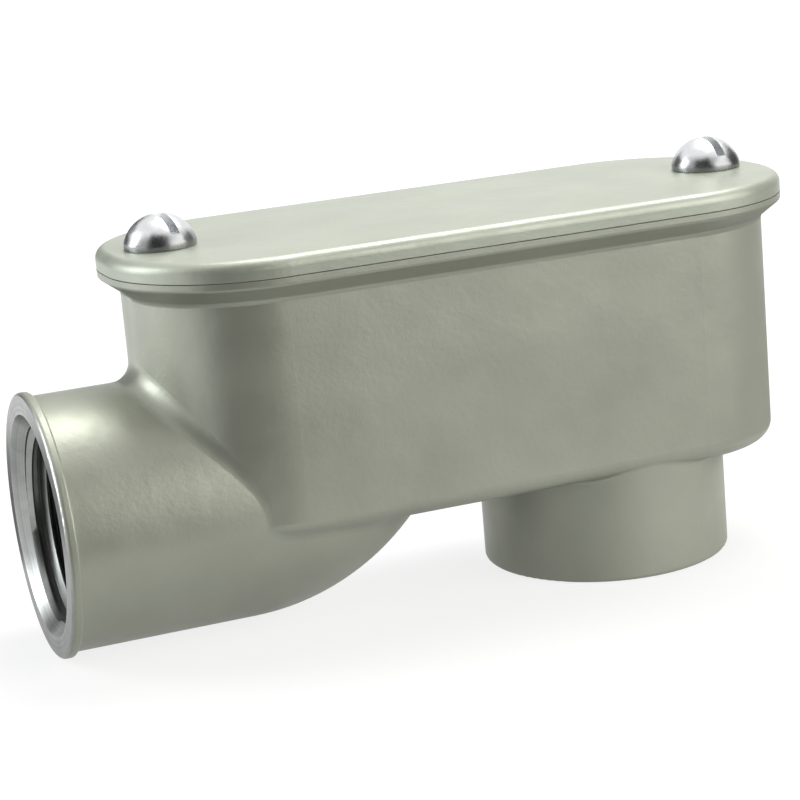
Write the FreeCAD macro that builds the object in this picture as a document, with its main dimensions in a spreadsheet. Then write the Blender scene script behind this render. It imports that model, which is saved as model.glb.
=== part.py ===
import FreeCAD, Part
import Sketcher
import math
import os

# Surface conduit body, type LB, 3/4 in trade size: a die-cast aluminium trough with a threaded hub
# on one end, a threaded hub under the other end, and a screwed-on cover with a gasket.
#
# Frame: +Z up through the cover, +X from the end hub towards the back hub, origin at the middle of
# the footprint, at the level of the back hub's mouth. Millimetres.

DIMENSIONS = {
    # trough
    "body_length": 90.9,
    "body_width": 35.8,
    "body_corner": 16.2,
    "floor_level": 14.9,
    "foot_round": 2.4,
    "wall": 2.5,
    "core_corner": 3.0,
    # rim flange under the cover
    "rim_level": 49.8,
    "rim_land": 0.95,
    "rim_bevel": 2.15,
    "rim_overhang": 2.8,
    "rim_cove": 0.9,
    "rim_round": 0.5,
    # hubs: the end hub has a bead round its mouth
    "end_hub_radius": 17.1,
    "back_hub_radius": 17.45,
    "bead_radius": 17.75,
    "bead_length": 1.5,
    "bead_round": 0.4,
    "hub_projection": 15.45,
    "hub_edge": 0.6,
    "bore_radius": 13.3,
    "bore_depth": 14.0,
    "bore_chamfer": 1.6,
    "throat_radius": 10.2,
    "throat_length": 4.0,
    "throat_round": 1.5,
    "hub_axis_level": 18.05,
    "back_hub_setback": 24.7,
    "hub_blend": 2.8,
    "back_hub_skirt": 0.8,
    # scoop: the lower half of the end hub, turned upwards into the floor
    "scoop_start": 11.3,
    "scoop_bend": 34.0,
    "scoop_channel": 14.6,
    "scoop_lip": 1.0,
    # screw bosses and their tapped holes
    "screw_inset": 5.2,
    "boss_radius": 4.4,
    "tap_radius": 2.45,
    "tap_depth": 13.0,
    # cover
    "cover_top": 52.5,
    "seam": 0.06,
    "cover_round": 1.4,
    "cover_lip": 1.5,
    "recess_depth": 0.8,
    "cover_hole_radius": 2.75,
    "lip_round": 0.12,
    # gasket
    "gasket_clearance": 0.15,
    "gasket_window_inset": 11.0,
    "gasket_window_width": 28.6,
    "gasket_window_corner": 13.5,
    # cover screws
    "shank_radius": 2.4,
    "shank_length": 12.7,
    "shank_tip": 0.6,
    "head_radius": 4.8,
    "head_height": 4.5,
    "head_side": 1.0,
    "head_edge": 0.2,
    "slot_width": 1.3,
    "slot_depth": 2.4,
    "left_slot_turn": 105.0,
    "right_slot_turn": 95.0,
}

# places along X, worked out from the sheet's cells
MOUTH_X = "-(Dims.hub_projection + Dims.body_length + Dims.rim_overhang) / 2"
LEFT_END = "(Dims.hub_projection - Dims.body_length - Dims.rim_overhang) / 2"
RIGHT_END = "(Dims.hub_projection + Dims.body_length - Dims.rim_overhang) / 2"
BACK_HUB_X = RIGHT_END + " - Dims.back_hub_setback"
LEFT_SCREW_X = LEFT_END + " + Dims.screw_inset"
RIGHT_SCREW_X = RIGHT_END + " - Dims.screw_inset"
FLOOR_TOP = "Dims.floor_level + Dims.wall"
LAND_LEVEL = "Dims.rim_level - Dims.rim_land"
BEVEL_LEVEL = "Dims.rim_level - Dims.rim_land - Dims.rim_bevel"
COVER_LEVEL = "Dims.rim_level + Dims.seam"
HALF_WIDTH = "Dims.body_width / 2"
THROAT_END = MOUTH_X + " + Dims.bore_depth + Dims.throat_length"

NEAR = 0.02  # how close an edge lies to where it is looked for
MARGIN = 1.0  # how far round a feature its edges are looked for
QUARTER_TURN = 90
FULL_TURN = 360

doc = FreeCAD.newDocument("conduit_body")
sheet = doc.addObject("Spreadsheet::Sheet", "Dims")
for row, (alias, number) in enumerate(DIMENSIONS.items(), start=1):
    sheet.set("A%d" % row, alias)
    sheet.set("B%d" % row, str(number))
    sheet.setAlias("B%d" % row, alias)
doc.recompute()


def size(expression):
    """The value of an expression over the sheet's cells, as a plain number."""
    result = sheet.evalExpression(expression)
    return float(getattr(result, "Value", result))


def new_body(label):
    body = doc.addObject("PartDesign::Body", label)
    body.Label = label
    return body


def new_sketch(body, name, role, height="0", up="0"):
    """A sketch on one of the body's own origin planes, moved off it by height and up in the plane."""
    plane = [f for f in body.Origin.OriginFeatures if f.Role == role][0]
    sketch = body.newObject("Sketcher::SketchObject", name)
    sketch.AttachmentSupport = (plane, [""])
    sketch.MapMode = "FlatFace"
    sketch.setExpression("AttachmentOffset.Base.y", up)
    sketch.setExpression("AttachmentOffset.Base.z", height)
    return sketch


def bind(sketch, kind, name, expression, *where):
    """Add a named dimension to a sketch and tie it to the sheet."""
    index = sketch.addConstraint(Sketcher.Constraint(kind, *where, size(expression)))
    sketch.renameConstraint(index, name)
    sketch.setExpression("Constraints." + name, expression)


def line(sketch, start, end):
    segment = Part.LineSegment(FreeCAD.Vector(*start, 0), FreeCAD.Vector(*end, 0))
    return sketch.addGeometry(segment, False)


def arc(sketch, centre, radius, first, last):
    """An arc run anticlockwise from the first angle to the last, in degrees."""
    circle = Part.Circle(FreeCAD.Vector(*centre, 0), FreeCAD.Vector(0, 0, 1), radius)
    piece = Part.ArcOfCircle(circle, math.radians(first), math.radians(last))
    return sketch.addGeometry(piece, False)


def join(sketch, *pairs):
    """Make curve ends meet: each pair is (geometry, end, geometry, end)."""
    for pair in pairs:
        sketch.addConstraint(Sketcher.Constraint("Coincident", *pair))


def circle_sketch(body, name, role, height, centres, radius):
    """Circles of one radius. Each centre is a pair of expressions."""
    sketch = new_sketch(body, name, role, height)
    for number, (across, along) in enumerate(centres):
        middle = FreeCAD.Vector(size(across), size(along), 0)
        ring = Part.Circle(middle, FreeCAD.Vector(0, 0, 1), size(radius))
        index = sketch.addGeometry(ring, False)
        bind(sketch, "Radius", "radius%d" % number, radius, index)
        bind(sketch, "DistanceX", "across%d" % number, across, -1, 1, index, 3)
        bind(sketch, "DistanceY", "along%d" % number, along, -1, 1, index, 3)
    return sketch


def outline_sketch(body, name, height, left, right, half_width, corner):
    """A rectangle with rounded corners, symmetric about the X axis."""
    sketch = new_sketch(body, name, "XY_Plane", height)
    x0, x1 = size(left), size(right)
    w, r = size(half_width), size(corner)
    ends = [(x1 - r, w - r, 0), (x0 + r, w - r, 90), (x0 + r, r - w, 180), (x1 - r, r - w, 270)]
    arcs = [arc(sketch, (x, y), r, turn, turn + 90) for x, y, turn in ends]
    top = line(sketch, (x1 - r, w), (x0 + r, w))
    west = line(sketch, (x0, w - r), (x0, r - w))
    bottom = line(sketch, (x0 + r, -w), (x1 - r, -w))
    east = line(sketch, (x1, r - w), (x1, w - r))
    order = [arcs[0], top, arcs[1], west, arcs[2], bottom, arcs[3], east]
    for here, after in zip(order, order[1:] + order[:1]):
        sketch.addConstraint(Sketcher.Constraint("Tangent", here, 2, after, 1))
    for flat in (top, bottom):
        sketch.addConstraint(Sketcher.Constraint("Horizontal", flat))
    for upright in (west, east):
        sketch.addConstraint(Sketcher.Constraint("Vertical", upright))
    for other in arcs[1:]:
        sketch.addConstraint(Sketcher.Constraint("Equal", arcs[0], other))
    bind(sketch, "Radius", "corner", corner, arcs[0])
    bind(sketch, "DistanceX", "left", left, -1, 1, west, 1)
    bind(sketch, "DistanceX", "right", right, -1, 1, east, 1)
    bind(sketch, "DistanceY", "back", half_width, -1, 1, top, 1)
    bind(sketch, "DistanceY", "front", "-(%s)" % half_width, -1, 1, bottom, 1)
    return sketch


def rim_outline(body, name, height, grow):
    """The trough's outline grown outwards (or, where grow is negative, inwards)."""
    return outline_sketch(
        body,
        name,
        height,
        "%s - (%s)" % (LEFT_END, grow),
        "%s + (%s)" % (RIGHT_END, grow),
        "%s + (%s)" % (HALF_WIDTH, grow),
        "Dims.body_corner + (%s)" % grow,
    )


def feature(body, kind, name, sketch, **expressions):
    """A sketch-based PartDesign feature with its sizes tied to the sheet."""
    made = body.newObject("PartDesign::" + kind, name)
    made.Profile = sketch
    for prop, expression in expressions.items():
        made.setExpression(prop, expression)
    sketch.Visibility = False
    return made


def volume(body):
    return body.Shape.Volume if body.Tip else 0.0


def edges_where(shape, test):
    """The names of the edges that pass a test, as a fillet or chamfer wants them."""
    return ["Edge%d" % n for n, edge in enumerate(shape.Edges, start=1) if test(edge)]


def dress(body, kind, name, base, test, **expressions):
    """A fillet or chamfer on those edges of the base feature that pass the test."""
    doc.recompute()
    names = edges_where(base.Shape, test)
    assert names, name
    made = body.newObject("PartDesign::" + kind, name)
    made.Base = (base, names)
    for prop, expression in expressions.items():
        made.setExpression(prop, expression)
    doc.recompute()
    assert made.isValid(), name
    return made


def lies_at(edge, axis, level):
    """Whether the whole edge lies in the plane where that axis has that level."""
    box = edge.BoundBox
    low, high = {"x": (box.XMin, box.XMax), "y": (box.YMin, box.YMax), "z": (box.ZMin, box.ZMax)}[axis]
    return abs(low - level) < NEAR and abs(high - level) < NEAR


def is_ring(edge, radius):
    """Whether the edge is an arc of that radius. A ball's pole is an edge with no curve."""
    if edge.Degenerated:
        return False
    return isinstance(edge.Curve, Part.Circle) and abs(edge.Curve.Radius - radius) < NEAR


def half_round_sketch(body, name, role, height, up, centre, radius, top):
    """A channel section: the lower half of a circle with its two sides run straight up to a top."""
    sketch = new_sketch(body, name, role, height, up)
    r, c, t = size(radius), size(centre), size(top)
    bowl = arc(sketch, (0, c), r, 180, 360)
    right = line(sketch, (r, c), (r, t))
    lid = line(sketch, (r, t), (-r, t))
    left = line(sketch, (-r, t), (-r, c))
    sketch.addConstraint(Sketcher.Constraint("Tangent", bowl, 2, right, 1))
    sketch.addConstraint(Sketcher.Constraint("Tangent", left, 2, bowl, 1))
    join(sketch, (right, 2, lid, 1), (lid, 2, left, 1))
    for upright in (left, right):
        sketch.addConstraint(Sketcher.Constraint("Vertical", upright))
    sketch.addConstraint(Sketcher.Constraint("Horizontal", lid))
    bind(sketch, "Radius", "radius", radius, bowl)
    bind(sketch, "DistanceX", "middle", "0", -1, 1, bowl, 3)
    bind(sketch, "DistanceY", "centre", centre, -1, 1, bowl, 3)
    bind(sketch, "DistanceY", "top", top, -1, 1, lid, 1)
    return sketch


def boss_sketch(body, name, height, middle, end, side):
    """A screw boss from above: a half circle round the hole, run back into the end wall.

    The side is 1 where the boss stands on the wall towards -X, and -1 at the other end.
    """
    sketch = new_sketch(body, name, "XY_Plane", height)
    r, x, e = size("Dims.boss_radius"), size(middle), size(end)
    turn = -QUARTER_TURN * side
    nose = arc(sketch, (x, 0), r, turn, turn + FULL_TURN / 2)
    first, last = (-r, r) if side > 0 else (r, -r)
    far = line(sketch, (x, last), (e, last))
    back = line(sketch, (e, last), (e, first))
    near = line(sketch, (e, first), (x, first))
    sketch.addConstraint(Sketcher.Constraint("Tangent", nose, 2, far, 1))
    sketch.addConstraint(Sketcher.Constraint("Tangent", near, 2, nose, 1))
    join(sketch, (far, 2, back, 1), (back, 2, near, 1))
    for flat in (far, near):
        sketch.addConstraint(Sketcher.Constraint("Horizontal", flat))
    sketch.addConstraint(Sketcher.Constraint("Vertical", back))
    bind(sketch, "Radius", "radius", "Dims.boss_radius", nose)
    bind(sketch, "DistanceX", "middle", middle, -1, 1, nose, 3)
    bind(sketch, "DistanceY", "centre", "0", -1, 1, nose, 3)
    bind(sketch, "DistanceX", "end", end, -1, 1, back, 1)
    return sketch


def scoop_turn(body, kind, name, radius, outwards):
    """Turn the lower half of the hub's section about a cross axis, from the hub up into the floor."""
    sketch = half_round_sketch(
        body,
        name + "_section",
        "YZ_Plane",
        LEFT_END + " + Dims.scoop_start",
        "Dims.scoop_bend",
        "Dims.hub_axis_level - Dims.scoop_bend",
        radius,
        "-Dims.scoop_lip",
    )
    before = volume(body)
    made = body.newObject("PartDesign::" + kind, name)
    made.Profile = sketch
    made.ReferenceAxis = (sketch, ["H_Axis"])
    made.Angle = QUARTER_TURN
    made.Reversed = True
    sketch.Visibility = False
    doc.recompute()
    assert (made.Shape.Volume > before) == outwards, name
    return made


def pad(body, name, sketch, length, forwards=True):
    """Add material from the sketch, along its normal or, where forwards is false, against it."""
    before = volume(body)
    made = feature(body, "Pad", name, sketch, Length=length)
    made.Reversed = not forwards
    doc.recompute()
    assert made.Shape.Volume > before, name
    return made


def pocket(body, name, sketch, length, forwards=True):
    """Cut from the sketch, along its normal or, where forwards is false, against it."""
    before = volume(body)
    made = feature(body, "Pocket", name, sketch, Length=length)
    made.Reversed = forwards
    doc.recompute()
    assert made.Shape.Volume < before, name
    return made


def loft(body, name, first, last):
    """Add material run straight from one sketch to another."""
    before = volume(body)
    made = body.newObject("PartDesign::AdditiveLoft", name)
    made.Profile = first
    made.Sections = [last]
    made.Ruled = True
    first.Visibility = False
    last.Visibility = False
    doc.recompute()
    assert made.Shape.Volume > before, name
    return made


def make_casting():
    body = new_body("casting")

    # the trough, rounded along its foot
    outline = rim_outline(body, "trough_outline", "Dims.floor_level", "0")
    trough = pad(body, "trough", outline, "Dims.rim_level - Dims.floor_level")
    floor = size("Dims.floor_level")
    dress(body, "Fillet", "foot", trough, lambda e: lies_at(e, "z", floor), Radius="Dims.foot_round")

    # the rim flange: a bevel outwards under a short upright land
    bevel_foot = rim_outline(body, "bevel_foot", BEVEL_LEVEL, "0")
    bevel_head = rim_outline(body, "bevel_head", LAND_LEVEL, "Dims.rim_overhang")
    loft(body, "rim_bevel", bevel_foot, bevel_head)
    land_outline = rim_outline(body, "land_outline", LAND_LEVEL, "Dims.rim_overhang")
    land = pad(body, "rim_land", land_outline, "Dims.rim_land")
    bevel_level, land_level = size(BEVEL_LEVEL), size(LAND_LEVEL)
    cove = dress(
        body, "Fillet", "rim_cove", land, lambda e: lies_at(e, "z", bevel_level), Radius="Dims.rim_cove"
    )
    dress(
        body, "Fillet", "rim_round", cove, lambda e: lies_at(e, "z", land_level), Radius="Dims.rim_round"
    )

    # the end hub, and the scoop that carries its lower half on under the floor
    hub_centre = [("0", "Dims.hub_axis_level")]
    hub_circle = circle_sketch(
        body, "end_hub_circle", "YZ_Plane", MOUTH_X, hub_centre, "Dims.end_hub_radius"
    )
    pad(body, "end_hub", hub_circle, "Dims.hub_projection + Dims.scoop_start")
    scoop = scoop_turn(body, "Revolution", "scoop", "Dims.end_hub_radius", outwards=True)
    dress(
        body,
        "Fillet",
        "hub_blend",
        scoop,
        lambda e: lies_at(e, "z", floor) and isinstance(e.Curve, Part.BSplineCurve),
        Radius="Dims.hub_blend",
    )

    # a bead round the end hub's mouth
    bead_circle = circle_sketch(
        body, "bead_circle", "YZ_Plane", MOUTH_X, hub_centre, "Dims.bead_radius"
    )
    pad(body, "end_hub_bead", bead_circle, "Dims.bead_length")

    # the back hub, straight down from the floor
    back_centre = [(BACK_HUB_X, "0")]
    back_circle = circle_sketch(
        body, "back_hub_circle", "XY_Plane", "0", back_centre, "Dims.back_hub_radius"
    )
    back_hub = pad(body, "back_hub", back_circle, "Dims.floor_level + Dims.foot_round")
    back_radius = size("Dims.back_hub_radius")
    back_x = size(BACK_HUB_X)

    def meets_back_hub(edge):
        box = edge.BoundBox
        return (
            box.ZMin > floor - MARGIN
            and box.ZMax < floor + size("Dims.foot_round")
            and box.XMin > back_x - back_radius - MARGIN
            and box.XMax < back_x + back_radius + MARGIN
            and (isinstance(edge.Curve, Part.BSplineCurve) or is_ring(edge, back_radius))
        )

    dress(body, "Fillet", "back_hub_skirt", back_hub, meets_back_hub, Radius="Dims.back_hub_skirt")

    # the chamber, drawn from the rim, with rounded floor corners
    core = rim_outline(body, "core_outline", "Dims.rim_level", "-Dims.wall")
    depth = "Dims.rim_level - Dims.floor_level - Dims.wall"
    chamber = pocket(body, "chamber", core, depth, forwards=False)
    floor_top = size(FLOOR_TOP)
    dress(
        body,
        "Fillet",
        "chamber_foot",
        chamber,
        lambda e: lies_at(e, "z", floor_top),
        Radius="Dims.core_corner",
    )

    # screw bosses inside both ends, down to the chamber's floor
    skin = "Dims.wall / 2"
    left_boss = boss_sketch(
        body, "left_boss_outline", "Dims.rim_level", LEFT_SCREW_X, "%s + %s" % (LEFT_END, skin), 1
    )
    right_boss = boss_sketch(
        body, "right_boss_outline", "Dims.rim_level", RIGHT_SCREW_X, "%s - %s" % (RIGHT_END, skin), -1
    )
    for name, outline in (("left_boss", left_boss), ("right_boss", right_boss)):
        pad(body, name, outline, depth + " + " + skin, forwards=False)

    # the way in from the end hub: threaded bore, bushing throat, then the hollow of the scoop
    mouth_ring = circle_sketch(
        body, "end_bore_circle", "YZ_Plane", MOUTH_X, hub_centre, "Dims.bore_radius"
    )
    pocket(body, "end_bore", mouth_ring, "Dims.bore_depth")
    throat_ring = circle_sketch(
        body, "end_throat_circle", "YZ_Plane", MOUTH_X, hub_centre, "Dims.throat_radius"
    )
    run = "Dims.hub_projection + Dims.scoop_start"
    pocket(body, "end_throat", throat_ring, run)
    channel_ring = circle_sketch(
        body, "channel_circle", "YZ_Plane", THROAT_END, hub_centre, "Dims.scoop_channel"
    )
    pocket(body, "channel", channel_ring, run + " - Dims.bore_depth - Dims.throat_length")
    scoop_turn(body, "Groove", "scoop_hollow", "Dims.scoop_channel", outwards=False)

    # the way in from the back hub
    back_bore_ring = circle_sketch(
        body, "back_bore_circle", "XY_Plane", "0", back_centre, "Dims.bore_radius"
    )
    pocket(body, "back_bore", back_bore_ring, "Dims.bore_depth")
    back_throat_ring = circle_sketch(
        body, "back_throat_circle", "XY_Plane", "0", back_centre, "Dims.throat_radius"
    )
    opened = pocket(body, "back_throat", back_throat_ring, FLOOR_TOP)

    # rounded bushing lips, so that a pulled wire does not chafe
    throat_x = size(THROAT_END)
    bore_radius = size("Dims.bore_radius")
    throat_radius = size("Dims.throat_radius")

    def is_inner_lip(edge):
        inside = lies_at(edge, "x", throat_x) or lies_at(edge, "z", floor_top)
        return inside and is_ring(edge, throat_radius)

    lips = dress(body, "Fillet", "throat_lips", opened, is_inner_lip, Radius="Dims.throat_round")

    # bored mouths: a chamfer leads the thread in, and the outer edge is eased
    mouth_x = size(MOUTH_X)
    bead_radius = size("Dims.bead_radius")
    bead_x = size(MOUTH_X + " + Dims.bead_length")

    def is_mouth(edge, *radii):
        on_ring = any(is_ring(edge, radius) for radius in radii)
        return on_ring and (lies_at(edge, "x", mouth_x) or lies_at(edge, "z", 0))

    leads = dress(
        body,
        "Chamfer",
        "bore_leads",
        lips,
        lambda e: is_mouth(e, bore_radius),
        Size="Dims.bore_chamfer",
    )
    eased = dress(
        body,
        "Fillet",
        "mouth_edges",
        leads,
        lambda e: is_mouth(e, bead_radius, back_radius),
        Radius="Dims.hub_edge",
    )
    dress(
        body,
        "Fillet",
        "bead_edge",
        eased,
        lambda e: is_ring(e, bead_radius) and lies_at(e, "x", bead_x),
        Radius="Dims.bead_round",
    )

    # tapped holes for the cover screws
    centres = [(LEFT_SCREW_X, "0"), (RIGHT_SCREW_X, "0")]
    taps = circle_sketch(body, "tap_circles", "XY_Plane", "Dims.rim_level", centres, "Dims.tap_radius")
    doc.recompute()
    before = volume(body)
    holes = body.newObject("PartDesign::Hole", "screw_taps")
    holes.Profile = taps
    holes.DepthType = "Dimension"
    holes.DrillPoint = "Angled"
    holes.setExpression("Diameter", "Dims.tap_radius * 2")
    holes.setExpression("Depth", "Dims.tap_depth")
    taps.Visibility = False
    doc.recompute()
    assert holes.Shape.Volume < before, "screw_taps"
    return body


def make_cover():
    body = new_body("cover")
    outline = rim_outline(body, "cover_outline", COVER_LEVEL, "Dims.rim_overhang")
    plate = pad(body, "plate", outline, "Dims.cover_top - Dims.rim_level - Dims.seam")
    top, bottom = size("Dims.cover_top"), size(COVER_LEVEL)
    crown = dress(
        body, "Fillet", "crown", plate, lambda e: lies_at(e, "z", top), Radius="Dims.cover_round"
    )
    dress(
        body, "Fillet", "lip_edge", crown, lambda e: lies_at(e, "z", bottom), Radius="Dims.lip_round"
    )
    inner = rim_outline(body, "recess_outline", COVER_LEVEL, "Dims.rim_overhang - Dims.cover_lip")
    pocket(body, "gasket_recess", inner, "Dims.recess_depth")
    centres = [(LEFT_SCREW_X, "0"), (RIGHT_SCREW_X, "0")]
    holes = circle_sketch(
        body, "hole_circles", "XY_Plane", COVER_LEVEL, centres, "Dims.cover_hole_radius"
    )
    pocket(body, "screw_holes", holes, "Dims.cover_top - Dims.rim_level")
    return body


def make_gasket():
    body = new_body("gasket")
    inset = "Dims.rim_overhang - Dims.cover_lip - Dims.gasket_clearance"
    outline = rim_outline(body, "gasket_outline", "Dims.rim_level", inset)
    thickness = "Dims.seam + Dims.recess_depth"
    pad(body, "sheet", outline, thickness)
    window = outline_sketch(
        body,
        "window_outline",
        "Dims.rim_level",
        LEFT_END + " + Dims.gasket_window_inset",
        RIGHT_END + " - Dims.gasket_window_inset",
        "Dims.gasket_window_width / 2",
        "Dims.gasket_window_corner",
    )
    pocket(body, "window", window, thickness)
    centres = [(LEFT_SCREW_X, "0"), (RIGHT_SCREW_X, "0")]
    holes = circle_sketch(
        body, "gasket_holes", "XY_Plane", "Dims.rim_level", centres, "Dims.cover_hole_radius"
    )
    pocket(body, "screw_holes", holes, thickness)
    return body


def screw_profile(body):
    """Half the section of a slotted round-head screw, its seat at the sketch's own level."""
    sketch = new_sketch(body, body.Label + "_profile", "XZ_Plane")
    shank, length = size("Dims.shank_radius"), size("Dims.shank_length")
    head, height = size("Dims.head_radius"), size("Dims.head_height")
    tip, side = size("Dims.shank_tip"), size("Dims.head_side")
    corners = [
        (0, height),
        (0, -length),
        (shank - tip, -length),
        (shank, tip - length),
        (shank, 0),
        (head, 0),
        (head, side),
    ]
    lines = [line(sketch, a, b) for a, b in zip(corners, corners[1:])]
    rise = height - side
    ball = (head * head + rise * rise) / (2 * rise)
    slope = math.degrees(math.atan2(side - (height - ball), head))
    dome = arc(sketch, (0, height - ball), ball, slope, 90)
    for here, after in zip(lines, lines[1:]):
        join(sketch, (here, 2, after, 1))
    join(sketch, (lines[-1], 2, dome, 1), (dome, 2, lines[0], 1))
    axis, foot, bevel, flank, seat, rim = lines
    for upright in (axis, flank, rim):
        sketch.addConstraint(Sketcher.Constraint("Vertical", upright))
    for flat in (foot, seat):
        sketch.addConstraint(Sketcher.Constraint("Horizontal", flat))
    sketch.addConstraint(Sketcher.Constraint("PointOnObject", axis, 1, -2))
    sketch.addConstraint(Sketcher.Constraint("PointOnObject", dome, 3, -2))
    bind(sketch, "DistanceY", "seat", "0", -1, 1, seat, 1)
    bind(sketch, "DistanceY", "height", "Dims.head_height", -1, 1, axis, 1)
    bind(sketch, "DistanceY", "length", "-Dims.shank_length", -1, 1, axis, 2)
    bind(sketch, "DistanceX", "shank", "Dims.shank_radius", -1, 1, flank, 1)
    bind(sketch, "DistanceX", "tip", "Dims.shank_radius - Dims.shank_tip", -1, 1, foot, 2)
    bind(sketch, "DistanceY", "bevel", "Dims.shank_tip - Dims.shank_length", -1, 1, flank, 1)
    bind(sketch, "DistanceX", "head", "Dims.head_radius", -1, 1, rim, 1)
    bind(sketch, "DistanceY", "side", "Dims.head_side", -1, 1, rim, 2)
    return sketch


def slot_sketch(body):
    """The driver slot's floor: a strip across the head, longer than the head is wide."""
    sketch = new_sketch(body, body.Label + "_slot", "XY_Plane", "Dims.head_height")
    past_head = "(Dims.head_radius + %s)" % MARGIN
    reach, half = size(past_head), size("Dims.slot_width / 2")
    corners = [(-reach, -half), (reach, -half), (reach, half), (-reach, half)]
    sides = [line(sketch, a, b) for a, b in zip(corners, corners[1:] + corners[:1])]
    for here, after in zip(sides, sides[1:] + sides[:1]):
        join(sketch, (here, 2, after, 1))
    for flat in (sides[0], sides[2]):
        sketch.addConstraint(Sketcher.Constraint("Horizontal", flat))
    for upright in (sides[1], sides[3]):
        sketch.addConstraint(Sketcher.Constraint("Vertical", upright))
    bind(sketch, "DistanceX", "west", "-" + past_head, -1, 1, sides[0], 1)
    bind(sketch, "DistanceX", "east", past_head, -1, 1, sides[0], 2)
    bind(sketch, "DistanceY", "near", "-Dims.slot_width / 2", -1, 1, sides[0], 1)
    bind(sketch, "DistanceY", "far", "Dims.slot_width / 2", -1, 1, sides[2], 1)
    return sketch


def make_screw(label, place, turn):
    body = new_body(label)
    profile = screw_profile(body)
    blank = body.newObject("PartDesign::Revolution", label + "_blank")
    blank.Profile = profile
    blank.ReferenceAxis = (profile, ["V_Axis"])
    blank.Angle = FULL_TURN
    profile.Visibility = False
    doc.recompute()
    dress(
        body,
        "Fillet",
        label + "_head_edge",
        blank,
        lambda e: is_ring(e, size("Dims.head_radius")),
        Radius="Dims.head_edge",
    )
    pocket(body, label + "_drive", slot_sketch(body), "Dims.slot_depth", forwards=False)
    body.setExpression("Placement.Base.x", place)
    body.setExpression("Placement.Base.z", "Dims.cover_top")
    body.setExpression("Placement.Rotation.Angle", turn)
    return body


def check(document, bodies):
    """Stop unless every object recomputed and every sub-part is one valid solid."""
    for item in document.Objects:
        assert not {"Invalid", "Error"} & set(item.State), item.Name
    for body in bodies:
        shape = body.Shape
        assert not shape.isNull() and shape.isValid() and len(shape.Solids) == 1, body.Label
        print("%-12s %9.1f mm3" % (body.Label, shape.Volume))


bodies = [
    make_casting(),
    make_cover(),
    make_gasket(),
    make_screw("left_screw", LEFT_SCREW_X, "Dims.left_slot_turn"),
    make_screw("right_screw", RIGHT_SCREW_X, "Dims.right_slot_turn"),
]
doc.recompute()
check(doc, bodies)
os.makedirs("parts", exist_ok=True)
for body in bodies:
    body.Shape.exportStep("parts/%s.step" % body.Label)
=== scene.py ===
import bmesh
import bpy
import math
from mathutils import Matrix, Vector


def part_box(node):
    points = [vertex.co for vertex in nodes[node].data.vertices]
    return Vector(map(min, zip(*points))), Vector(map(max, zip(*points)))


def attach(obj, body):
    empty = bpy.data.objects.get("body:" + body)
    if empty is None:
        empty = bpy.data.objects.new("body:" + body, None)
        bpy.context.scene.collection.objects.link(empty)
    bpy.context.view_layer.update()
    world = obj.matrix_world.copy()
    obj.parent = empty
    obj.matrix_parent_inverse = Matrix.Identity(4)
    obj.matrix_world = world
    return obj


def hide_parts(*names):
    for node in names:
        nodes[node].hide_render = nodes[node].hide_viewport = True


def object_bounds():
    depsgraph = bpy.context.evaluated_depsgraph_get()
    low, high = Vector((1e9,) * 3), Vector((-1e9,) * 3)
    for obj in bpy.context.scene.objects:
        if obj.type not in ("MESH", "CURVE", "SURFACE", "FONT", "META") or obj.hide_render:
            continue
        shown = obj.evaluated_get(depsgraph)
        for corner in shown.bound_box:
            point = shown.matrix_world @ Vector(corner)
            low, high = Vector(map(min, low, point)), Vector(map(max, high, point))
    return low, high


# The look of the conduit body: painted casting and cover, neoprene gasket, plated screws with real
# threads, pipe threads in both hubs, and a plain pale studio. Metres, in the part's own frame.

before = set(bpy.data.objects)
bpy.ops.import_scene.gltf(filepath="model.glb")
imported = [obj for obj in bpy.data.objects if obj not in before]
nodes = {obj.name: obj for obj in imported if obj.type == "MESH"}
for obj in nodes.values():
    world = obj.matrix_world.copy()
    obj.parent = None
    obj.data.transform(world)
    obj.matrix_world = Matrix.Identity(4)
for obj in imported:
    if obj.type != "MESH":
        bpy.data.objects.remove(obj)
cad_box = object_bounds()
MM = 0.001

# places, from the part
MOUTH_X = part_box("casting")[0].x
HUB_AXIS_Z = 18.05 * MM
BACK_HUB_X = 27.075 * MM
BORE_RADIUS = 13.3 * MM
BORE_CHAMFER = 1.6 * MM
BORE_DEPTH = 14.0 * MM
BETWEEN_HUBS_X = -30 * MM

# where the casting is bare: its faced rings, and its bores to just short of the bushing
RING_DEPTH = 0.25 * MM
BARE_DEPTH = BORE_DEPTH - 0.3 * MM
RAGGED_EDGE = 0.15 * MM

# 3/4 in tapered pipe thread, 14 to the inch
PIPE_PITCH = 25.4 / 14 * MM
PIPE_HEIGHT = 1.3 * MM
PIPE_LEAST = 0.02 * MM  # height where the ridge begins and ends
PIPE_SUNK = 0.05 * MM  # how far its foot lies inside the wall
PIPE_HALF_FOOT = 0.47 * PIPE_PITCH
PIPE_HALF_CREST = 0.07 * PIPE_PITCH
PIPE_TAPER = 1 / 32
PIPE_TURNS = 6.6
PIPE_START = 0.35 * MM  # first turn, behind the chamfer
PIPE_FIRST = math.radians(225)  # where around the bore it begins
PIPE_STEPS = 96  # steps in a turn

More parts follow.
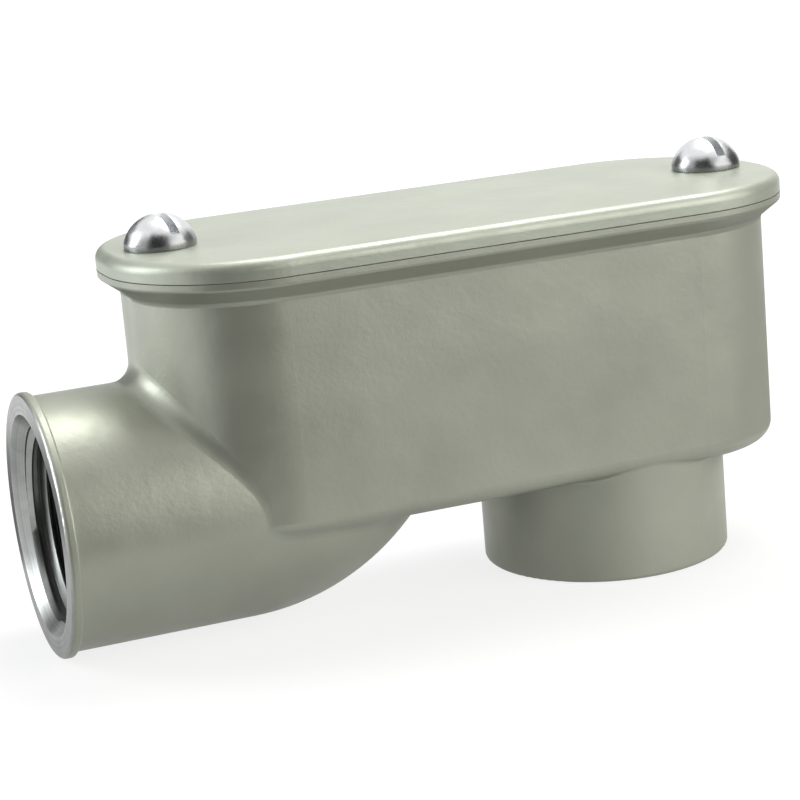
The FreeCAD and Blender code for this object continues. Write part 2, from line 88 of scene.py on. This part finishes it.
# number 10-24 machine screw
SCREW_PITCH = 25.4 / 24 * MM
SCREW_ROOT = 1.85 * MM
SHANK_RADIUS = 2.4 * MM
SHANK_TIP = 0.6 * MM
SHANK_END_RADIUS = SCREW_ROOT * 0.8
SHANK_IN_HEAD = 0.3 * MM
SHANK_STEPS = 48  # steps around
SHANK_ROWS = 10  # rows in a pitch
RIDGE_TOP, RIDGE_SLOPE = 1.25, 2.5  # straight flanks, cut off flat at 1 and at 0
HEAD_RADIUS = 4.8 * MM
HEAD_HEIGHT = 4.5 * MM
HEAD_SIDE = 0.9 * MM
HEAD_EDGE = 0.2 * MM
HEAD_STEPS = 72
DOME_STEPS = 22
SLOT_WIDTH = 1.3 * MM
SLOT_DEPTH = 2.4 * MM
SLOT_EASED = 0.09 * MM
SLOT_EDGE_ANGLE = math.radians(35)
WELD = 0.004 * MM
# painted shade on the screws: from where to where the head's rim and the shank below the seat go
# darker
HEAD_SHADE_FROM, HEAD_SHADE_TO = HEAD_RADIUS - 0.9 * MM, HEAD_RADIUS - 0.1 * MM
SHANK_SHADE_FROM, SHANK_SHADE_TO = 0.4 * MM, -0.6 * MM
SHARP_ANGLE = math.radians(32)
# node, body, and the driver slot's turn in degrees
SCREWS = (("left_screw", "screw_left", 105.0), ("right_screw", "screw_right", 95.0))

# colours, linear
PAINT = (0.418, 0.436, 0.366)
# the body's paint made lighter and a touch greener for the cover: painted light
PAINT_COVER_PAINTED_LIGHT = (0.475, 0.505, 0.428)
BARE = (0.36, 0.37, 0.36)
ZINC = (0.74, 0.75, 0.76)
RUBBER = (0.022, 0.022, 0.023)
PALE = (0.28, 0.28, 0.28)
WHITE = (1.0, 1.0, 1.0, 1.0)
WARM = (1.0, 0.985, 0.93)
NEUTRAL = (1.0, 1.0, 0.97)
COOL = (0.93, 0.98, 1.0)

# studio: how far the floor and the surroundings are lifted to white, and from where to where
FLOOR_REACH = 4.0
FLOOR_GAP = 0.02 * MM
FLOOR_LIFT, FLOOR_LIFT_FROM, FLOOR_LIFT_TO = 0.80, 0.12, 0.60
# in reflections the floor is lifted less near the object: painted shade
GLOSS_LIFT, GLOSS_LIFT_FROM, GLOSS_LIFT_TO = 0.55, 0.05, 0.16
SKY_AS_LIGHT = 0.14
CARD_STEPS = 16
CARD_ABOVE_FLOOR = 1.0 * MM
LAMPS_AIM = Vector((0, 0, 25 * MM))

# name, azimuth, elevation, distance, size, watts, colour, whether the gloss shows it
LAMPS = (
    ("key", 40, 20, 1.20, (1.40, 0.80), 6.8, WARM, True),
    ("fill", 40, 20, 1.20, (0.90, 0.90), 4.9, WARM, False),
    ("top", 127, 68, 0.85, (0.52, 0.52), 4.9, NEUTRAL, True),
    ("left", -112, 20, 0.80, (0.30, 0.50), 3.3, COOL, True),
)

# name, first and last azimuth, distance, elevations, grey
DARK_CARDS = (
    ("front_card", -62, 8, 0.26, (-72, 0, 15, 30, 45, 60), 0.06),
    ("right_card", 8, 135, 0.26, (-72, 0), 0.40),
    ("side_card", 68, 115, 0.26, (3, 20, 38), 0.12),
    ("back_card", -180, -125, 0.145, (-72, 0), 0.10),
    ("rear_card", -178, -135, 0.26, (8, 24, 40), 0.12),
)


class Shader:
    """A node tree with short calls to add and wire nodes."""

    def __init__(self, name):
        self.material = bpy.data.materials.new(name)
        self.material.use_nodes = True
        self.tree = self.material.node_tree
        self.tree.nodes.clear()
        self.output = self.tree.nodes.new("ShaderNodeOutputMaterial")

    def feed(self, socket, value):
        """Set a socket to a number or a colour, or wire it to another node's socket."""
        if isinstance(value, bpy.types.NodeSocket):
            self.tree.links.new(value, socket)
        else:
            socket.default_value = value

    def node(self, kind, **inputs):
        """Add a node and feed its inputs."""
        made = self.tree.nodes.new("ShaderNode" + kind)
        for key, value in inputs.items():
            self.feed(made.inputs[key.replace("_", " ")], value)
        return made

    def math(self, operation, *values):
        made = self.tree.nodes.new("ShaderNodeMath")
        made.operation = operation
        for socket, value in zip(made.inputs, values):
            self.feed(socket, value)
        return made.outputs[0]

    def place(self):
        """The point in the piece's own frame, so that the pattern moves with it."""
        return self.node("TexCoord").outputs["Object"]

    def noise(self, scale, detail=3.0, roughness=0.55):
        made = self.node(
            "TexNoise", Vector=self.place(), Scale=scale, Detail=detail, Roughness=roughness
        )
        return made.outputs["Fac"]

    def ramp(self, value, low, high, to_low=0.0, to_high=1.0):
        """Map low..high to to_low..to_high, smoothly and clamped."""
        made = self.tree.nodes.new("ShaderNodeMapRange")
        made.interpolation_type = "SMOOTHSTEP"
        for socket, number in zip(made.inputs[1:5], (low, high, to_low, to_high)):
            socket.default_value = number
        self.tree.links.new(value, made.inputs[0])
        return made.outputs[0]

    def mix(self, factor, first, second):
        made = self.tree.nodes.new("ShaderNodeMix")
        made.data_type = "RGBA"
        for index, value in ((0, factor), (6, first), (7, second)):
            self.feed(made.inputs[index], value)
        return made.outputs[2]

    def bump(self, height, distance, strength=1.0, normal=None):
        made = self.node("Bump", Strength=strength, Distance=distance, Height=height)
        if normal is not None:
            self.tree.links.new(normal, made.inputs["Normal"])
        return made.outputs["Normal"]

    def finish(self, shader):
        self.tree.links.new(shader, self.output.inputs["Surface"])
        return self.material


def tinted(colour, factor):
    return tuple(channel * factor for channel in colour) + (1.0,)


def paint_shader(sh, colour):
    """Satin paint over a die casting: slight mottling, a fine orange peel and soft waves."""
    mottle = sh.ramp(sh.noise(55.0, detail=4.0), 0.3, 0.7)
    tone = sh.mix(mottle, tinted(colour, 0.95), tinted(colour, 1.05))
    specks = sh.ramp(sh.noise(2600.0, detail=2.0), 0.62, 0.80, to_high=0.10)
    tone = sh.mix(specks, tone, tinted(colour, 0.60))
    waves = sh.bump(sh.noise(90.0, detail=2.0), distance=0.00035, strength=0.55)
    grain = sh.noise(1250.0, roughness=0.6)
    peel = sh.bump(grain, distance=0.00007, strength=0.45, normal=waves)
    satin = sh.ramp(sh.noise(140.0), 0.3, 0.7, to_low=0.36, to_high=0.46)
    made = sh.node(
        "BsdfPrincipled", Base_Color=tone, Roughness=satin, Normal=peel, Metallic=0.45, IOR=1.5
    )
    return made.outputs[0]


def bare_shader(sh, tool_marks):
    """Turned aluminium, a little stained. Its marks and bands follow the given distance."""
    ring = sh.node("CombineXYZ", X=tool_marks).outputs[0]
    lathe = sh.node("TexNoise", Vector=ring, Scale=5000.0, Detail=1.0)
    marks = sh.bump(lathe.outputs["Fac"], distance=0.00002, strength=0.35)
    bands = sh.node("TexNoise", Vector=ring, Scale=1500.0, Detail=2.0).outputs["Fac"]
    tone = sh.mix(sh.ramp(bands, 0.35, 0.65), tinted(BARE, 0.72), tinted(BARE, 1.10))
    stain = sh.ramp(sh.noise(260.0), 0.35, 0.70, to_high=0.45)
    tone = sh.mix(stain, tone, tinted(BARE, 0.55))
    made = sh.node("BsdfPrincipled", Base_Color=tone, Roughness=0.33, Metallic=1.0, Normal=marks)
    return made.outputs[0]


def casting_material():
    """Paint, but for bare metal where both hubs are faced and bored."""
    sh = Shader("painted_casting")
    where = sh.node("SeparateXYZ", Vector=sh.place())
    x, y, z = where.outputs

    def axis_distance(across, centre):
        off = sh.math("SUBTRACT", across, centre)
        squares = sh.math("ADD", sh.math("MULTIPLY", off, off), sh.math("MULTIPLY", y, y))
        return sh.math("SQRT", squares)

    ragged = sh.math("MULTIPLY", sh.noise(900.0), RAGGED_EDGE)

    def machined(depth, radius):
        """1 on the faced ring and the bored wall, 0 on paint."""
        in_depth = sh.math("LESS_THAN", depth, BARE_DEPTH)
        in_bore = sh.math("LESS_THAN", sh.math("ADD", radius, ragged), BORE_RADIUS + BORE_CHAMFER)
        on_ring = sh.math("LESS_THAN", sh.math("ADD", depth, ragged), RING_DEPTH)
        return sh.math("MAXIMUM", sh.math("MULTIPLY", in_depth, in_bore), on_ring)

    end_depth = sh.math("SUBTRACT", x, MOUTH_X)
    end_radius = axis_distance(z, HUB_AXIS_Z)
    back_radius = axis_distance(x, BACK_HUB_X)
    bare = sh.math("MAXIMUM", machined(end_depth, end_radius), machined(z, back_radius))
    at_end = sh.math("LESS_THAN", x, BETWEEN_HUBS_X)
    radius = sh.node("Mix", Factor=at_end, A=back_radius, B=end_radius).outputs[0]
    both = sh.node("MixShader", Fac=bare)
    sh.tree.links.new(paint_shader(sh, PAINT), both.inputs[1])
    sh.tree.links.new(bare_shader(sh, radius), both.inputs[2])
    return sh.finish(both.outputs[0])


def cover_material():
    sh = Shader("painted_cover")
    # painted light: the cover takes a lighter copy of the body's paint, as falls on its top
    return sh.finish(paint_shader(sh, PAINT_COVER_PAINTED_LIGHT))


def thread_material():
    sh = Shader("cut_thread")
    tone = sh.mix(sh.noise(700.0), tinted(BARE, 0.70), tinted(BARE, 1.05))
    made = sh.node("BsdfPrincipled", Base_Color=tone, Roughness=0.30, Metallic=1.0)
    return sh.finish(made.outputs[0])


def gasket_material():
    sh = Shader("neoprene")
    grain = sh.bump(sh.noise(2200.0), distance=0.00005, strength=0.5)
    tone = sh.mix(sh.noise(120.0), tinted(RUBBER, 0.8), tinted(RUBBER, 1.5))
    made = sh.node("BsdfPrincipled", Base_Color=tone, Roughness=0.72, Normal=grain)
    return sh.finish(made.outputs[0])


def zinc_material():
    """Bright plate, with painted shade: duller and darker towards the head's rim and down in the
    threads.
    """
    sh = Shader("bright_zinc")
    place = sh.node("SeparateXYZ", Vector=sh.place()).outputs
    squares = sh.math("ADD", sh.math("POWER", place[0], 2.0), sh.math("POWER", place[1], 2.0))
    edge = sh.ramp(sh.math("SQRT", squares), HEAD_SHADE_FROM, HEAD_SHADE_TO)
    low = sh.ramp(place[2], SHANK_SHADE_TO, SHANK_SHADE_FROM, to_low=1.0, to_high=0.0)
    rim_and_shank_shade = sh.math("MAXIMUM", edge, low)
    tone = sh.mix(sh.noise(500.0), tinted(ZINC, 0.90), tinted(ZINC, 1.08))
    # painted shade: the head's rim and the shank below the seat take a darker tone
    tone = sh.mix(rim_and_shank_shade, tone, tinted(ZINC, 0.42))
    polish = sh.ramp(sh.noise(800.0), 0.3, 0.7, to_low=0.24, to_high=0.34)
    ripple = sh.bump(sh.noise(420.0), distance=0.00010, strength=0.35)
    made = sh.node("BsdfPrincipled", Base_Color=tone, Roughness=polish, Metallic=1.0, Normal=ripple)
    return sh.finish(made.outputs[0])


def dress_node(name, material):
    """Give a CAD node its material."""
    shape = nodes[name].data
    shape.materials.clear()
    shape.materials.append(material)


def add_mesh(name, points, faces, material):
    shape = bpy.data.meshes.new(name)
    shape.from_pydata(points, [], faces)
    shape.update()
    shape.materials.append(material)
    made = bpy.data.objects.new(name, shape)
    bpy.context.scene.collection.objects.link(made)
    return made


def piece(name, points, faces, material, body, at=Vector((0, 0, 0))):
    """A new mesh, smooth except at its sharp edges, that rides on a body."""
    made = add_mesh(name, points, faces, material)
    made.location = at
    for face in made.data.polygons:
        face.use_smooth = True
    made.data.set_sharp_from_angle(angle=SHARP_ANGLE)
    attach(made, body)
    return made


def stage_piece(name, points, faces, material):
    """A mesh of the studio, no part of the object."""
    made = add_mesh(name, points, faces, material)
    return made


def pipe_thread(name, mouth, inward, material):
    """A right-handed ridge wound along the bore's wall.

    It rises from nothing behind the chamfer, as deep as it has wound in, and fades out inside.
    """
    first = inward.orthogonal().normalized()
    second = inward.cross(first)
    fade = PIPE_STEPS // 2
    steps = int(PIPE_TURNS * PIPE_STEPS)
    base = BORE_RADIUS + PIPE_SUNK
    points, faces = [], []
    for step in range(steps + 1):
        turn = step * math.tau / PIPE_STEPS
        deeper = PIPE_PITCH * turn / math.tau
        along = BORE_CHAMFER + PIPE_START + deeper
        rise = min(PIPE_HEIGHT * min(1.0, (steps - step) / fade), deeper) + PIPE_LEAST
        crest = base - rise - along * PIPE_TAPER
        outward = first * math.cos(turn + PIPE_FIRST) + second * math.sin(turn + PIPE_FIRST)
        for offset, radius in (
            (-PIPE_HALF_FOOT, base),
            (-PIPE_HALF_CREST, crest),
            (PIPE_HALF_CREST, crest),
            (PIPE_HALF_FOOT, base),
        ):
            points.append(mouth + inward * (along + offset) + outward * radius)
    for step in range(steps):
        here, after = 4 * step, 4 * step + 4
        for corner in range(4):
            beside = (corner + 1) % 4
            faces.append((here + corner, here + beside, after + beside, after + corner))
    faces.append((3, 2, 1, 0))
    faces.append(tuple(4 * steps + corner for corner in range(4)))
    piece(name, points, faces, material, "body")


def lathe(profile, segments):
    """Points and faces of a closed profile, from axis to axis, turned about Z."""
    points = [Vector((0, 0, profile[0][1]))]
    for radius, level in profile[1:-1]:
        for step in range(segments):
            turn = step * math.tau / segments
            points.append(Vector((radius * math.cos(turn), radius * math.sin(turn), level)))
    points.append(Vector((0, 0, profile[-1][1])))
    faces = []
    rings = len(profile) - 2
    for step in range(segments):
        beside = (step + 1) % segments
        faces.append((0, 1 + beside, 1 + step))
        for ring in range(rings - 1):
            low, high = 1 + ring * segments, 1 + (ring + 1) * segments
            faces.append((low + step, low + beside, high + beside, high + step))
        last = 1 + (rings - 1) * segments
        faces.append((last + step, last + beside, len(points) - 1))
    return points, faces


def head_profile():
    """Underside, short side and dome of the round head, level 0 at the seat."""
    rise = HEAD_HEIGHT - HEAD_SIDE
    ball = (HEAD_RADIUS**2 + rise**2) / (2 * rise)
    centre = HEAD_HEIGHT - ball
    start = math.asin((HEAD_SIDE - centre) / ball)
    profile = [(0, 0), (HEAD_RADIUS - HEAD_EDGE, 0)]
    profile += [(HEAD_RADIUS - HEAD_EDGE * 0.3, HEAD_EDGE * 0.3), (HEAD_RADIUS, HEAD_EDGE)]
    for step in range(DOME_STEPS):
        turn = start + (math.pi / 2 - start) * step / DOME_STEPS
        profile.append((ball * math.cos(turn), centre + ball * math.sin(turn)))
    profile.append((0, HEAD_HEIGHT))
    return profile


def shank_mesh(length):
    """Points and faces of a threaded rod below level 0, its top run up into the head."""
    rows = int(length / SCREW_PITCH * SHANK_ROWS)
    points = [Vector((0, 0, SHANK_IN_HEAD))]
    for row in range(rows + 1):
        level = -length * row / rows
        room = min(1.0, (length + level) / SHANK_TIP)
        crest = (SHANK_RADIUS - SHANK_TIP) + SHANK_TIP * room
        threaded = min(1.0, max(0.0, -level / SCREW_PITCH))
        for step in range(SHANK_STEPS):
            phase = (level / SCREW_PITCH - step / SHANK_STEPS) % 1.0
            ridge = min(1.0, max(0.0, RIDGE_TOP - RIDGE_SLOPE * abs(phase - 0.5)))
            depth = (SHANK_RADIUS - SCREW_ROOT) * (1.0 - ridge) * threaded
            turn = step * math.tau / SHANK_STEPS
            reach = max(crest - depth, SHANK_END_RADIUS)
            points.append(Vector((reach * math.cos(turn), reach * math.sin(turn), level)))
    points.append(Vector((0, 0, -length)))
    faces = []
    for step in range(SHANK_STEPS):
        beside = (step + 1) % SHANK_STEPS
        faces.append((0, 1 + step, 1 + beside))
        for row in range(rows):
            high, low = 1 + row * SHANK_STEPS, 1 + (row + 1) * SHANK_STEPS
            faces.append((high + step, low + step, low + beside, high + beside))
        last = 1 + rows * SHANK_STEPS
        faces.append((last + beside, last + step, len(points) - 1))
    return points, faces


def cut_slot(shape):
    """The head's mesh with the driver slot taken out, its edges eased and its slivers welded."""
    blank = bpy.data.objects.new("blank", shape)
    reach, half = HEAD_RADIUS * 1.2, SLOT_WIDTH / 2
    floor, top = HEAD_HEIGHT - SLOT_DEPTH, HEAD_HEIGHT * 1.2
    corners = [(x, y, z) for x in (-reach, reach) for y in (-half, half) for z in (floor, top)]
    sides = [(0, 1, 3, 2), (4, 6, 7, 5), (0, 4, 5, 1), (2, 3, 7, 6), (0, 2, 6, 4), (1, 5, 7, 3)]
    cutter_shape = bpy.data.meshes.new("cutter")
    cutter_shape.from_pydata(corners, [], sides)
    cutter = bpy.data.objects.new("cutter", cutter_shape)
    for made in (blank, cutter):
        bpy.context.scene.collection.objects.link(made)
    cut = blank.modifiers.new("slot", "BOOLEAN")
    cut.operation, cut.object, cut.solver = "DIFFERENCE", cutter, "EXACT"
    edge = blank.modifiers.new("edge", "BEVEL")
    edge.width, edge.segments = SLOT_EASED, 2
    edge.limit_method, edge.angle_limit = "ANGLE", SLOT_EDGE_ANGLE
    cut_mesh = bpy.data.meshes.new_from_object(
        blank.evaluated_get(bpy.context.evaluated_depsgraph_get())
    )
    for made in (blank, cutter):
        bpy.data.objects.remove(made)
    mend = bmesh.new()
    mend.from_mesh(cut_mesh)
    bmesh.ops.remove_doubles(mend, verts=mend.verts, dist=WELD)
    bmesh.ops.dissolve_degenerate(mend, dist=WELD, edges=mend.edges)
    mend.to_mesh(cut_mesh)
    mend.free()
    return cut_mesh


def make_screw(node, body, slot_turn, material):
    """A slotted round-head screw with its thread, in place of the plain one."""
    low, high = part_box(node)
    seat = high.z - HEAD_HEIGHT
    head = bpy.data.meshes.new(node + "_head")
    points, faces = lathe(head_profile(), HEAD_STEPS)
    head.from_pydata(points, [], faces)
    head = cut_slot(head)
    turned = Matrix.Rotation(math.radians(slot_turn), 4, "Z")
    seat_at = Vector(((low.x + high.x) / 2, 0, seat))
    shank_points, shank_faces = shank_mesh(seat - low.z)
    all_points = [turned @ v.co for v in head.vertices] + [turned @ p for p in shank_points]
    start = len(head.vertices)
    all_faces = [tuple(f.vertices) for f in head.polygons]
    all_faces += [tuple(start + corner for corner in face) for face in shank_faces]
    made = piece(node + "_threaded", all_points, all_faces, material, body, seat_at)
    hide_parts(node)


def way_to(azimuth, elevation):
    """The direction at an azimuth from -Y towards +X and an elevation, in degrees."""
    a, e = math.radians(azimuth), math.radians(elevation)
    return Vector((math.sin(a) * math.cos(e), -math.cos(a) * math.cos(e), math.sin(e)))


def area_light(name, azimuth, elevation, distance, size, watts, colour, in_gloss):
    """A soft lamp that the object sees at that azimuth and elevation, in degrees."""
    back = way_to(azimuth, elevation)
    lamp = bpy.data.lights.new(name, "AREA")
    lamp.shape = "RECTANGLE"
    lamp.size, lamp.size_y = size
    lamp.energy = watts
    lamp.color = colour
    made = bpy.data.objects.new(name, lamp)
    bpy.context.scene.collection.objects.link(made)
    made.location = LAMPS_AIM + back * distance
    made.rotation_euler = back.to_track_quat("Z", "Y").to_euler()
    made.visible_camera = False
    made.visible_glossy = in_gloss


def make_floor():
    """A pale floor, lifted to white away from the object, that keeps the object's shadow.

    It is clear from below. The gloss sees it darker near the object: painted shade, standing in for
    the object's shadow on a matt table.
    """
    sh = Shader("pale_floor")
    light = sh.node("LightPath").outputs
    matt = sh.node("BsdfDiffuse", Color=PALE + (1.0,))
    far = sh.node("VectorMath", Vector=sh.place())
    far.operation = "LENGTH"
    distance = far.outputs["Value"]
    plain = sh.ramp(distance, FLOOR_LIFT_FROM, FLOOR_LIFT_TO, FLOOR_LIFT, 1.0)
    # painted shade: the gloss sees the floor darker near the object
    mirrored_with_painted_shade = sh.ramp(distance, GLOSS_LIFT_FROM, GLOSS_LIFT_TO, GLOSS_LIFT, 1.0)
    clear = sh.math("MAXIMUM", light["Is Camera Ray"], light["Is Transmission Ray"])
    level = sh.math("MULTIPLY", clear, plain)
    level = sh.math("MAXIMUM", level, sh.math("MULTIPLY", light["Is Glossy Ray"], mirrored_with_painted_shade))
    lift = sh.node("Emission", Color=WHITE, Strength=level)
    lit = sh.node("AddShader")
    sh.tree.links.new(matt.outputs[0], lit.inputs[0])
    sh.tree.links.new(lift.outputs[0], lit.inputs[1])
    below = sh.node("NewGeometry").outputs["Backfacing"]
    sides = sh.node("MixShader", Fac=below)
    sh.tree.links.new(lit.outputs[0], sides.inputs[1])
    sh.tree.links.new(sh.node("BsdfTransparent").outputs[0], sides.inputs[2])
    reach = FLOOR_REACH
    corners = [(-reach, -reach, 0), (reach, -reach, 0), (reach, reach, 0), (-reach, reach, 0)]
    made = stage_piece("floor", corners, [(0, 1, 2, 3)], sh.finish(sides.outputs[0]))
    made.location.z = cad_box[0].z - FLOOR_GAP


def dark_card(name, first, last, reach, levels, grey):
    """A dark card curved around the object, seen in its gloss alone.

    A level below 0 lies on the floor, nearer the object.
    """
    sh = Shader(name)
    flat = sh.node("Emission", Color=WHITE, Strength=grey)
    dark = sh.finish(flat.outputs[0])
    points = []
    for step in range(CARD_STEPS + 1):
        a = math.radians(first + (last - first) * step / CARD_STEPS)
        for level in levels:
            e = math.radians(level)
            out = reach * math.cos(e)
            up = max(reach * math.sin(e), 0.0) + CARD_ABOVE_FLOOR
            points.append((out * math.sin(a), -out * math.cos(a), up))
    rows = len(levels)
    faces = []
    for step in range(CARD_STEPS):
        for row in range(rows - 1):
            here, after = step * rows + row, (step + 1) * rows + row
            faces.append((here, after, after + 1, here + 1))
    made = stage_piece(name, points, faces, dark)
    made.visible_camera = made.visible_diffuse = made.visible_shadow = False
    made.visible_transmission = made.visible_volume_scatter = False


def make_world():
    """Even pale surroundings: white to the eye and in reflections, dimmer as light."""
    world = bpy.data.worlds.new("studio")
    bpy.context.scene.world = world
    world.use_nodes = True
    tree = world.node_tree
    path = tree.nodes.new("ShaderNodeLightPath").outputs
    sky = tree.nodes["Background"]
    sky.inputs["Color"].default_value = WHITE
    seen = path["Is Camera Ray"]
    for name in ("Is Glossy Ray", "Is Transmission Ray"):
        either = tree.nodes.new("ShaderNodeMath")
        either.operation = "MAXIMUM"
        tree.links.new(seen, either.inputs[0])
        tree.links.new(path[name], either.inputs[1])
        seen = either.outputs[0]
    level = tree.nodes.new("ShaderNodeMapRange")
    tree.links.new(seen, level.inputs[0])
    level.inputs["To Min"].default_value = SKY_AS_LIGHT
    tree.links.new(level.outputs[0], sky.inputs["Strength"])


def make_camera(azimuth, elevation, roll, distance, lens, target):
    """The photograph's camera. Angles are in degrees, and the lens in mm."""
    a, r = math.radians(azimuth), math.radians(roll)
    back = way_to(azimuth, elevation)
    right = Vector((math.cos(a), math.sin(a), 0))
    up = back.cross(right)
    across = right * math.cos(r) - up * math.sin(r)
    upward = right * math.sin(r) + up * math.cos(r)
    camera = bpy.data.cameras.new("camera")
    camera.lens = lens
    camera.clip_start = 0.01
    made = bpy.data.objects.new("camera", camera)
    bpy.context.scene.collection.objects.link(made)
    turned = Matrix((across, upward, back)).transposed().to_4x4()
    made.matrix_world = Matrix.Translation(target + back * distance) @ turned
    bpy.context.scene.camera = made


dress_node("casting", casting_material())
dress_node("cover", cover_material())
dress_node("gasket", gasket_material())
cut_metal = thread_material()
pipe_thread("end_hub_thread", Vector((MOUTH_X, 0, HUB_AXIS_Z)), Vector((1, 0, 0)), cut_metal)
pipe_thread("back_hub_thread", Vector((BACK_HUB_X, 0, 0)), Vector((0, 0, 1)), cut_metal)
zinc = zinc_material()
for node, body, slot_turn in SCREWS:
    make_screw(node, body, slot_turn, zinc)

make_floor()
make_world()
for card in DARK_CARDS:
    dark_card(*card)
for lamp in LAMPS:
    area_light(*lamp)
make_camera(
    azimuth=-20.0,
    elevation=13.44,
    roll=4.987,
    distance=324.25 * MM,
    lens=105.84,
    target=Vector((-2.575, 0, 26.563)) * MM,
)

scene = bpy.context.scene
scene.view_settings.view_transform = "Standard"
